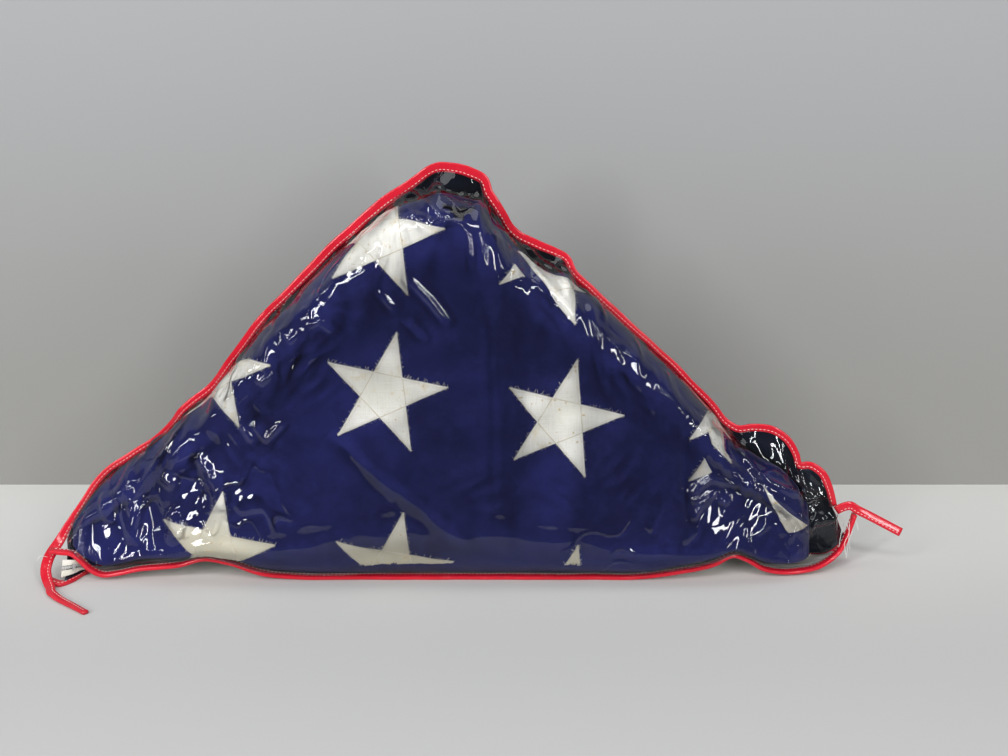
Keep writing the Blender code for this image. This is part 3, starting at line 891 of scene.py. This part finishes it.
def flag_pieces(cloth):
    navy = navy_cotton()
    white = star_cotton()
    thread = white_cotton("star fray", rgb(0.80, 0.79, 0.74), rgb(0.70, 0.68, 0.60), 900.0)
    # A tan thread for the stitches and for the arm seams, where its darker tone is partly painted
    # shade along the seam.
    thread_and_seam_shade = white_cotton("star thread and seam shade", rgb(0.74, 0.71, 0.62), rgb(0.58, 0.53, 0.41), 900.0)
    flag = sheet("flag_cloth", cloth.grid, navy, thickness=CLOTH_THICK)
    open_gap(flag, cloth)
    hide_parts("flag")
    draw = random.Random(5)
    sewn = []
    for number, (x, up, turn, tucks) in enumerate(STARS, 1):
        parts = [(x, up, turn, tucks)] + [tip[1:] for tip in STAR_TIPS if tip[0] == number]
        shape = cut_star(*parts[0])
        for extra in parts[1:]:
            helper = bpy.data.meshes.new("tip")
            tip_shape = cut_star(*extra)
            tip_shape.to_mesh(helper)
            tip_shape.free()
            shape.from_mesh(helper)
            bpy.data.meshes.remove(helper)
        lay_star(shape, cloth)
        star = finish_piece(f"sewn_star_{number}", shape, white)
        solid = star.modifiers.new("thickness", "SOLIDIFY")
        solid.thickness = STAR_THICK * MM
        solid.offset = 0.0
        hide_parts(f"star_{number}")
        loose = []
        stitched = []
        seams = []
        for part_x, part_up, part_turn, part_tucks in parts:
            corners = star_outline(part_x, part_up, part_turn)
            loose += frayed_edge(corners, part_tucks, cloth, draw)
            stitched += zigzag(corners, part_tucks, cloth)
            seams += arm_seams(corners, part_tucks, cloth)
        fray = threads(f"star_fray_{number}", loose, FRAY_RADIUS, thread)
        stitches = threads(f"star_stitches_{number}", stitched, STITCH_RADIUS, thread_and_seam_shade)
        trimmings = [fray, stitches]
        if seams:
            # The seam ridges take the darker tan, partly as painted shade along each turned seam.
            trimmings.append(
                threads(f"star_seams_{number}", seams, RIDGE_RADIUS, thread_and_seam_shade))
        sewn += [star] + trimmings


# The case's two panels.

FILM_COLUMNS = 470
FILM_ROWS = 208
BACK_COLUMNS = 260
BACK_PANEL_ROWS = 90
FILM_ENDS = (-294.0, 301.0)
BACK_THICK = 0.5
SHOULDER_LAYERS = (0.75, 0.4)
FILM_RISES = (5.4, 9.0)
RISE_SHARE = 0.45
SLENDER_DEPTH = 24.0
FULL_HEIGHT = 60.0
PANEL_FOOT = 3.0               # from the middle of a base binding to the film sewn on it
SLIGHT_DEPTHS = (6.0, 14.0)    # thinner sections than these have a flat panel
BESIDE = 0.5                   # a place this far beside the cloth's end isn't over it
FRONT_CLEAR = 3.6              # from the middle of the cloth to the film, over the stars
BACK_CLEAR = 3.2

CREASE_GAIN = 1.7
CREASE_SPREAD = 0.95
GATHER_SIZE = 17.0
GATHER_STRETCH = 0.35
GATHER_REACH = 48.0
GATHER_DEPTH = 2.6

# Creases in the clear film: points, width and height.
FILM_CREASES = (
    (((-34, 287), (-23, 292), (1, 279), (-6, 272), (-34, 287)), 2.2, 1.3),
    (((-7, 297), (2, 293)), 3.0, 1.5),
    (((35, 267), (41, 260)), 3.0, 1.4),
    (((-24, 236), (-8, 219), (5, 202)), 2.4, 1.5),
    (((-44, 226), (-33, 212)), 2.2, 1.1),
    (((-27, 206), (-11, 190)), 2.6, 0.8),
    (((46, 268), (72, 236), (96, 204)), 4.5, 1.4),
    (((47, 268), (66, 247), (76, 239), (102, 222)), 2.6, 1.5),
    (((66, 232), (77, 218), (94, 200)), 2.2, 1.0),
    (((92, 235), (114, 222)), 2.6, 1.3),
    (((94, 229), (113, 204)), 2.2, 1.2),
    (((102, 222), (123, 198)), 2.2, 1.2),
    (((84, 240), (102, 228)), 2.4, 1.1),
    (((120, 190), (126, 184)), 2.4, 1.2),
    (((133, 179), (140, 174)), 2.4, 1.1),
    (((-140, 126), (-130, 115), (-117, 128)), 2.2, 1.3),
    (((-150, 131), (-144, 121), (-140, 113)), 2.2, 1.2),
    (((-137, 161), (-131, 158), (-126, 162), (-128, 173)), 2.2, 1.3),
    (((-120, 192), (-115, 196), (-108, 189), (-102, 197)), 2.2, 1.2),
    (((-97, 199), (-87, 204), (-78, 196)), 2.2, 1.2),
    (((-186, 140), (-190, 130), (-213, 96), (-239, 60)), 2.6, 1.7),
    (((-210, 113), (-224, 100), (-234, 88)), 2.2, 1.3),
    (((-213, 83), (-202, 76)), 4.0, 1.8),
    (((-84, 121), (-38, 84), (20, 33)), 6.0, 0.8),
    (((-74, 119), (-35, 72)), 4.5, 0.5),
    (((-184, 100), (-169, 80), (-166, 60)), 5.0, 2.2),
    (((216, 108), (228, 111), (236, 106)), 2.4, 1.4),
    (((196, 121), (217, 106), (237, 82), (264, 67), (290, 59)), 2.8, 2.0),
    (((235, 82), (254, 82)), 2.4, 1.3),
    (((276, 49), (279, 34), (286, 50)), 2.2, 1.3),
    (((189, 80), (188, 55), (196, 68), (206, 72)), 2.2, 1.4),
    (((206, 68), (214, 63)), 3.0, 1.4),
    (((184, 72), (200, 82), (223, 75)), 2.4, 1.4),
    (((-240, 72), (-236, 50), (-238, 30)), 5.0, 2.4),
    (((-222, 66), (-216, 44), (-218, 26)), 6.0, -2.2),
    (((-205, 60), (-198, 38)), 5.0, 1.8),
    (((-262, 66), (-256, 44)), 4.0, 1.6),
)
# Puckered places in the film: centre, reach each way, depth and the way the puckers run.
FILM_DIMPLES = (
    (-182, 75, 30, 22, 1.6, 0.6),
    (-150, 120, 26, 20, 1.5, -0.9),
    (-105, 170, 26, 20, 1.5, 0.75),
    (28, 78, 24, 12, 0.6, 0.4),
    (88, 78, 18, 10, 0.6, -0.5),
    (133, 84, 16, 16, 0.8, 0.9),
    (225, 60, 26, 30, 1.5, 1.0),
    (262, 46, 22, 28, 1.3, -0.9),
    (-235, 60, 26, 34, 1.4, 1.2),
    (284, 56, 18, 26, 1.2, -1.1),
    (60, 255, 20, 20, 1.4, -0.8),
    (-18, 288, 22, 12, 1.4, 0.1),
    (150, 160, 26, 24, 1.2, -0.75),
)
DIMPLE_SIZE = 7.0
DIMPLE_STRETCH = 2.8


def panel_points(x, side, rows):
    """A panel from its base binding to the seam: side -1 is the front, 1 the back."""
    front = front_route(x)
    back = back_route(x)
    base = front if side < 0 else back
    edge = base + upward(base) * (BASE_THICK / 2 - 0.8)
    edge[:, 1] -= side * PANEL_FOOT
    top = seam_route(x) - upward(seam_route(x)) * 1.5
    top[:, 1] += side * 0.4
    depth = column("depth", x)
    spread = np.minimum(seam_route(x)[:, 2] / FULL_HEIGHT, 1.0)**4
    controls = [edge]
    for height, swell in zip(LAYER_HEIGHTS, LAYER_SWELL):
        point = packet(x, side, height, swell)
        point[:, 1] += side * FILM_GAP
        point[:, 2] += FILM_GAP * (height - 0.5) * spread
        point[:, 2] = np.maximum(point[:, 2], edge[:, 2] + 1.0)
        controls.append(point)
    for layer in SHOULDER_LAYERS:
        point = packet(x, side * layer, 1.0, LAYER_SWELL[-1])
        point[:, 2] += np.clip(room(x) * RISE_SHARE, *FILM_RISES)
        point[:, 1] += side * FILM_GAP * layer / 2
        share = np.minimum(depth / SLENDER_DEPTH, 1.0)
        point[:, 0] = top[:, 0] + (point[:, 0] - top[:, 0]) * share
        controls.append(point)
    controls.append(top)
    controls = np.array(controls)
    last = len(controls) - 1
    flat = np.array([edge + (top - edge) * row / last for row in range(last + 1)])
    full = np.clip((depth - SLIGHT_DEPTHS[0]) / (SLIGHT_DEPTHS[1] - SLIGHT_DEPTHS[0]), 0, 1)
    controls = flat + (controls - flat) * full[None, :, None]
    lengths = np.linalg.norm(np.diff(controls, axis=0), axis=-1).mean(axis=1)
    places = np.concatenate(((0.0,), np.cumsum(lengths))) / lengths.sum()
    return smooth_through(places, controls, np.linspace(0.0, 1.0, rows))


def clear_of(covered, points, least):
    """Lets out a panel wherever it comes nearer than that to the cloth."""
    for row in range(1, len(points) - 1):
        for number in range(points.shape[1]):
            point = Vector(points[row, number])
            near, facing, _, _ = covered.find_nearest(point)
            away = point - near
            over = away.dot(facing)
            if over < least and (away - facing * over).length < BESIDE:
                points[row, number] = near + facing * least


def held_edges(rows, columns):
    """0 along the sewn edges of a panel, 1 away from them."""
    up = np.linspace(0.0, 1.0, rows)[:, None]
    along = np.linspace(0.0, 1.0, columns)[None, :]
    return (np.clip(up / 0.05, 0, 1) * np.clip((1 - up) / 0.05, 0, 1)
            * np.clip(along / 0.03, 0, 1) * np.clip((1 - along) / 0.03, 0, 1))


def gathers(points):
    """Soft pleats square to the seam, strongest just below it."""
    rows, columns = points.shape[:2]
    seam = points[-1]
    along = np.concatenate(((0.0,), np.cumsum(np.linalg.norm(np.diff(seam, axis=0), axis=1))))
    below = np.linalg.norm(points - seam[None], axis=-1)
    wave = rumpled(along[None, :] + 0.3 * below, below * GATHER_STRETCH, GATHER_SIZE, 13.0)
    fine = rumpled(along[None, :] - 0.4 * below, below * GATHER_STRETCH, GATHER_SIZE / 2.4, 17.0)
    reach = np.clip(below / 6.0, 0.0, 1.0) * np.exp(-(below / GATHER_REACH)**2)
    return (wave * GATHER_DEPTH + fine * GATHER_DEPTH * 0.5) * reach


def front_film(covered):
    x = np.linspace(*FILM_ENDS, FILM_COLUMNS)
    points = panel_points(x, -1, FILM_ROWS)
    across = points[..., 0]
    up = points[..., 2]
    creases = [(line, width * CREASE_SPREAD, height * CREASE_GAIN)
               for line, width, height in FILM_CREASES]
    heights = creased(creases, across, up)
    heights += 1.5 * rumpled(across, up, 60.0, 21.0)
    heights += 0.45 * rumpled(across, up, 20.0, 5.0)
    for number, dimple in enumerate(FILM_DIMPLES):
        centre_x, centre_z, reach_x, reach_z, depth, lean = dimple
        along = across * math.cos(lean) + up * math.sin(lean)
        beside = up * math.cos(lean) - across * math.sin(lean)
        heights += (patch(across, up, centre_x, centre_z, reach_x, reach_z)
                    * rumpled(along / DIMPLE_STRETCH, beside, DIMPLE_SIZE, number) * depth)
    heights += gathers(points)
    heights = np.clip(heights, -1.8, 6.0) * held_edges(FILM_ROWS, FILM_COLUMNS)
    points = points + outward(points) * heights[..., None]
    clear_of(covered, points, FRONT_CLEAR)
    film = sheet("case_film_front", points, clear_film())
    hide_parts("case_front")


def back_panel(covered):
    x = np.linspace(*FILM_ENDS, BACK_COLUMNS)
    points = panel_points(x, 1, BACK_PANEL_ROWS)
    across = points[..., 0]
    up = points[..., 2]
    heights = 1.6 * rumpled(across, up, 55.0, 31.0) + 0.6 * rumpled(across, up, 22.0, 33.0)
    heights *= held_edges(BACK_PANEL_ROWS, BACK_COLUMNS)
    points = points - outward(points) * heights[..., None]
    clear_of(covered, points, BACK_CLEAR)
    panel = sheet("case_panel_back", points, dark_vinyl(), reverse=True,
                  thickness=BACK_THICK)
    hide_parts("case_back")


# Bindings.

BINDING_STEP = 2.0
BINDING_WIDTHS = ((-304, -290, -262, -200, -140, -60, 20, 60, 110, 190, 215, 250, 302),
                  (8.2, 6.4, 4.8, 5.2, 6.6, 7.4, 8.0, 6.6, 5.2, 4.8, 5.2, 5.8, 6.2))
STITCH_LENGTH = 2.0
STITCH_PITCH = 3.1
STITCH_INSET = 2.1
BINDING_STITCH = 0.22          # the radius of the sewing thread


def spaced(points, step):
    """Even places along a smooth route through points."""
    places = np.concatenate(((0.0,), np.cumsum(np.linalg.norm(np.diff(points, axis=0), axis=1))))
    count = int(places[-1] / step) + 1
    return places, np.linspace(0.0, places[-1], count)


def frame_along(points, faces):
    """Across and through a strip whose flat side faces the given way."""
    going = travel(points)
    across = unit(np.cross(faces, going))
    return across, unit(np.cross(going, across))


def stitch_row(points, across, through, inset, lift):
    """Short stitches along a strip, standing a little out of it."""
    lengths = np.concatenate(((0.0,), np.cumsum(np.linalg.norm(np.diff(points, axis=0), axis=1))))
    line = points + across * inset + through * lift
    strands = []
    for start in np.arange(STITCH_PITCH, lengths[-1] - STITCH_PITCH, STITCH_PITCH):
        strand = []
        for part, sink in ((0.0, 0.5), (0.2, 0.0), (0.8, 0.0), (1.0, 0.5)):
            place = start + part * STITCH_LENGTH
            point = np.array([np.interp(place, lengths, line[:, axis]) for axis in range(3)])
            down = np.array([np.interp(place, lengths, through[:, axis]) for axis in range(3)])
            strand.append(point - down * sink)
        strands.append(strand)
    return strands


def wavering(points, across, amount, size, seed):
    """A route that wanders a little from its line."""
    offsets = [noise.noise(Vector((along * BINDING_STEP / size, seed, 0.0)))
               for along in range(len(points))]
    return points + across * (np.array(offsets) * amount)[:, None]


def edge_binding(red, thread):
    tail = LEFT_TAIL[:, :3]
    corners = np.concatenate((tail, SEAM))
    tail_faces = np.stack([0 * tail[:, 0], LEFT_TAIL[:, 3], LEFT_TAIL[:, 4]], axis=-1)
    faces = np.concatenate((tail_faces, np.tile((0.0, -1.0, 0.0), (len(SEAM), 1))))
    places, at = spaced(corners, BINDING_STEP)
    route_points = smooth_through(places, corners, at)
    across, through = frame_along(route_points, unit(smooth_through(places, faces, at)))
    route_points = wavering(route_points, across, 0.8, 24.0, 2.0)
    route_points = wavering(route_points, through, 0.7, 17.0, 8.0)
    across, through = frame_along(route_points, unit(smooth_through(places, faces, at)))
    width = np.interp(route_points[:, 0], *BINDING_WIDTHS)
    width = width + 0.3 * np.sin(at / 31.0) + 0.25 * np.sin(at / 12.0)
    piece = bar("edge_binding", route_points, across, through, width, BINDING_THICK, red)
    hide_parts("binding_top")
    strands = []
    for face in (1, -1):
        strands += stitch_row(route_points, across, through * face,
                              (STITCH_INSET - width / 2)[:, None], BINDING_THICK / 2)
    stitches = threads("edge_binding_stitches", strands, BINDING_STITCH, thread)


def loose_end(red, thread):
    corners = RIGHT_TAIL[:, :3]
    faces = np.stack([0 * corners[:, 0], RIGHT_TAIL[:, 3], RIGHT_TAIL[:, 4]], axis=-1)
    places, at = spaced(corners, BINDING_STEP)
    points = smooth_through(places, corners, at)
    across, through = frame_along(points, unit(smooth_through(places, faces, at)))
    piece = bar("loose_end", points, across, through, BINDING_WIDTH - 0.4, BINDING_THICK, red)
    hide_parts("binding_tail_right")
    strands = stitch_row(points, across, through, STITCH_INSET - BINDING_WIDTH / 2,
                         BINDING_THICK / 2)
    stitches = threads("loose_end_stitches", strands, BINDING_STITCH, thread)


def base_bindings(red, thread):
    x = SECTIONS[:, 0]
    for name, node, line, side in (("base_binding_front", "binding_front", front_route, -1),
                                   ("base_binding_back", "binding_back", back_route, 1)):
        before, after = CORNER_ENDS[name]
        corners = np.concatenate((np.reshape(before, (-1, 3)), line(x), np.reshape(after, (-1, 3))))
        places, at = spaced(corners, BINDING_STEP)
        points = smooth_through(places, corners, at)
        across = np.tile((0.0, 1.0, 0.0), (len(points), 1))
        points = wavering(points, across, 0.7, 26.0, 4.0 + side)
        through = upward(points)
        piece = bar(name, points, across, through, BINDING_WIDTH, BASE_THICK, red)
        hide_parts(node)
        stitches = threads(f"{name}_stitches", stitch_row(
            points, across, through, -side * (BINDING_WIDTH / 2 - STITCH_INSET),
            BASE_THICK / 2), BINDING_STITCH, thread)


# The zip.

COIL_WIDTH = 6.0
TAPE_THICK = 0.8
COIL_PINCH = 0.6
EDGEWISE_REACH = 4.4
TAPE_GAP = 0.3
COIL_PITCH = 1.5


def zip_band(x):
    """Where the zip's outer edges lie, and the way from the front one to the back one."""
    front = front_route(x)
    back = back_route(x)
    across = back - front
    across[:, 0] = 0.0
    across = unit(across)
    reach = (BINDING_WIDTH / 2 - 1.0) * np.abs(across[:, 1:2]) + EDGEWISE_REACH * np.abs(
        across[:, 2:3])
    down = np.zeros_like(front)
    down[:, 2] = (BASE_THICK - TAPE_THICK) / 2 * np.abs(across[:, 1])
    return front + across * reach - down, back - across * reach - down, across


def zip_parts(tape_white, coil_white):
    x = np.linspace(LEFT_END, SECTIONS[-2, 0], 400)
    front, back, across = zip_band(x)
    share = 1.0 - COIL_PINCH * np.abs(across[:, 2:3])
    middle = (front + back) / 2
    reach = across * (COIL_WIDTH / 2 * share + TAPE_GAP)
    for name, node, start, end in (("tape_front", "zip_tape_front", front, middle - reach),
                                   ("tape_back", "zip_tape_back", middle + reach, back)):
        steps = np.linspace(0.0, 1.0, 8)[:, None, None]
        grid = start[None] + (end - start)[None] * steps
        tape = sheet(name, grid, tape_white, thickness=TAPE_THICK)
        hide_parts(node)
    going = travel(middle)
    inward = unit(np.cross(going, across))
    turns = []
    for side in (-1, 1):
        strand = []
        lengths = np.concatenate(((0.0,), np.cumsum(np.linalg.norm(
            np.diff(middle, axis=0), axis=1))))
        for number in range(int(lengths[-1] / COIL_PITCH * 4)):
            place = number * COIL_PITCH / 4
            values = [np.array([np.interp(place, lengths, line[:, axis]) for axis in range(3)])
                      for line in (middle, across, inward)]
            wide = np.interp(place, lengths, share[:, 0])
            turn = number * math.pi / 2
            strand.append(values[0]
                          + values[1] * wide * (side * 1.0 + 1.7 * math.cos(turn))
                          + values[2] * (0.5 + 0.75 * math.sin(turn)))
        turns.append(strand)
    coil = threads("coil", turns, 0.38, coil_white)
    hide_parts("zip_coil")


# Loose threads where the sewing has come undone.

LOOSE_THREADS = (
    ((315, -5, 40), (316, -8, 33), (314, -9, 27), (315, -9, 17)),
    ((312, -5, 38), (313, -9, 30), (310, -11, 24), (311, -12, 14)),
    ((314, -5, 39), (313, -10, 30), (312.5, -11, 20), (311.5, -12, 11)),
    ((309, -5, 34), (306, -11, 26), (305, -13, 21)),
    ((316, -5, 43), (319, -8, 38), (320, -9, 33)),
    ((-303, -26, 18), (-308, -29, 20), (-310, -30, 17)),
)


def loose_threads(thread):
    strands = []
    for corners in LOOSE_THREADS:
        corners = np.array(corners, float)
        places, at = spaced(corners, 0.8)
        strands.append(smooth_through(places, corners, at))
    piece = threads("loose_threads", strands, 0.2, thread)


# What it stands on, the light and the camera.

WALL_Y = 0.182
TABLE_WIDTH = 5.2
TABLE_FRONT = -0.27            # the table ends there, and the room before it is dim
WALL_HEIGHT = 2.4


def plain(name, near, far):
    """A pale table top, from its near edge to the wall, painted lighter towards the wall: painted
    light that makes it look evenly lit.
    """
    graph = Graph(name)
    place = graph.add("TexCoord", out=3)
    back = graph.add("SeparateXYZ", None, {0: place}, out=1)
    return graph.output(graph.principled(
        Base_Color=graph.blend(graph.step(back, -0.3, 0.5), near, far), Roughness=0.72,
        Specular_IOR_Level=0.3))


def one_sided(name, low, high):
    """A wall painted a little darker low down, as painted shade, and clear from behind."""
    graph = Graph(name)
    height = graph.add("SeparateXYZ", None, {0: graph.add("TexCoord", out=3)}, out=1)
    colour = graph.blend(graph.step(height, -0.5, -0.28), low, high)
    front = graph.principled(Base_Color=colour, Roughness=0.85, Specular_IOR_Level=0.2)
    behind = graph.add("NewGeometry", out=6)
    return graph.output(graph.add("MixShader", None, {
        0: behind, 1: front, 2: graph.add("BsdfTransparent")}))


def plate(name, width, height, place, turn, material):
    shape = bmesh.new()
    bmesh.ops.create_grid(shape, x_segments=1, y_segments=1, size=0.5)
    mesh = bpy.data.meshes.new(name)
    shape.to_mesh(mesh)
    shape.free()
    mesh.materials.append(material)
    piece = bpy.data.objects.new(name, mesh)
    piece.scale = (width, height, 1.0)
    piece.location = place
    piece.rotation_euler = turn
    bpy.context.scene.collection.objects.link(piece)


def stage():
    plate("table", TABLE_WIDTH, WALL_Y - TABLE_FRONT, (0.0, (WALL_Y + TABLE_FRONT) / 2, 0.0),
          (0.0, 0.0, 0.0), plain("pale table", rgb(0.485, 0.485, 0.48), rgb(0.69, 0.69, 0.67)))
    plate("wall", TABLE_WIDTH, WALL_HEIGHT, (0.0, WALL_Y, WALL_HEIGHT / 2),
          (math.radians(90), 0.0, 0.0),
          one_sided("pale wall", rgb(0.265, 0.262, 0.249), rgb(0.355, 0.360, 0.371)))


def soft_box(name, place, aim, width, height, power):
    lamp = bpy.data.lights.new(name, "AREA")
    lamp.shape = "RECTANGLE"
    lamp.size = width
    lamp.size_y = height
    lamp.energy = power
    piece = bpy.data.objects.new(name, lamp)
    piece.location = place
    piece.rotation_euler = (Vector(aim) - Vector(place)).to_track_quat("-Z", "Y").to_euler()
    bpy.context.scene.collection.objects.link(piece)


def room_light():
    world = bpy.data.worlds.new("room")
    world.use_nodes = True
    background = world.node_tree.nodes["Background"]
    background.inputs["Color"].default_value = rgb(0.93, 0.96, 1.0)
    background.inputs["Strength"].default_value = 0.15
    bpy.context.scene.world = world
    middle = (0.0, 0.0, 0.1)
    soft_box("left lamp", (-1.3, -1.9, 1.1), middle, 0.26, 1.5, 34.0)
    soft_box("right lamp", (1.1, -2.0, 0.9), middle, 0.22, 1.3, 22.0)
    soft_box("high lamp", (-0.1, -1.6, 1.8), middle, 1.7, 0.2, 20.0)
    soft_box("left side lamp", (-2.1, -1.1, 0.9), middle, 0.22, 0.6, 6.0)
    soft_box("right side lamp", (2.0, -1.2, 0.8), middle, 0.22, 0.6, 5.0)
    soft_box("ceiling lamp", (0.15, -0.15, 2.0), (0.0, 0.0, 0.0), 1.4, 1.0, 9.0)


def camera():
    lens = bpy.data.cameras.new("camera")
    lens.sensor_width = 36.0
    lens.lens = 41.07
    piece = bpy.data.objects.new("camera", lens)
    piece.location = (0.0454, -0.840, 0.378)
    piece.rotation_euler = (math.radians(75.0), 0.0, 0.0)
    bpy.context.scene.collection.objects.link(piece)
    bpy.context.scene.camera = piece


def kept_metal():
    """The zip's end stop keeps its solid and gets its real finish."""
    stop = bpy.data.objects["zip_stop"]
    metal = bright_metal()
    for slot in stop.material_slots:
        slot.material = metal


def main():
    bpy.context.scene.view_settings.view_transform = "Standard"
    red = red_vinyl()
    white_thread = white_cotton("sewing thread", rgb(0.78, 0.78, 0.76), rgb(0.66, 0.65, 0.62),
                                900.0)
    tape_white = white_cotton("zip tape", rgb(0.70, 0.69, 0.64), rgb(0.60, 0.58, 0.50), 500.0)
    coil_white = white_cotton("zip coil", rgb(0.72, 0.72, 0.70), rgb(0.50, 0.50, 0.49), 400.0)
    camera()
    stage()
    room_light()
    cloth = Cloth()
    covered = cloth.surface()
    flag_pieces(cloth)
    front_film(covered)
    back_panel(covered)
    edge_binding(red, white_thread)
    loose_end(red, white_thread)
    base_bindings(red, white_thread)
    zip_parts(tape_white, coil_white)
    loose_threads(white_thread)
    kept_metal()


main()
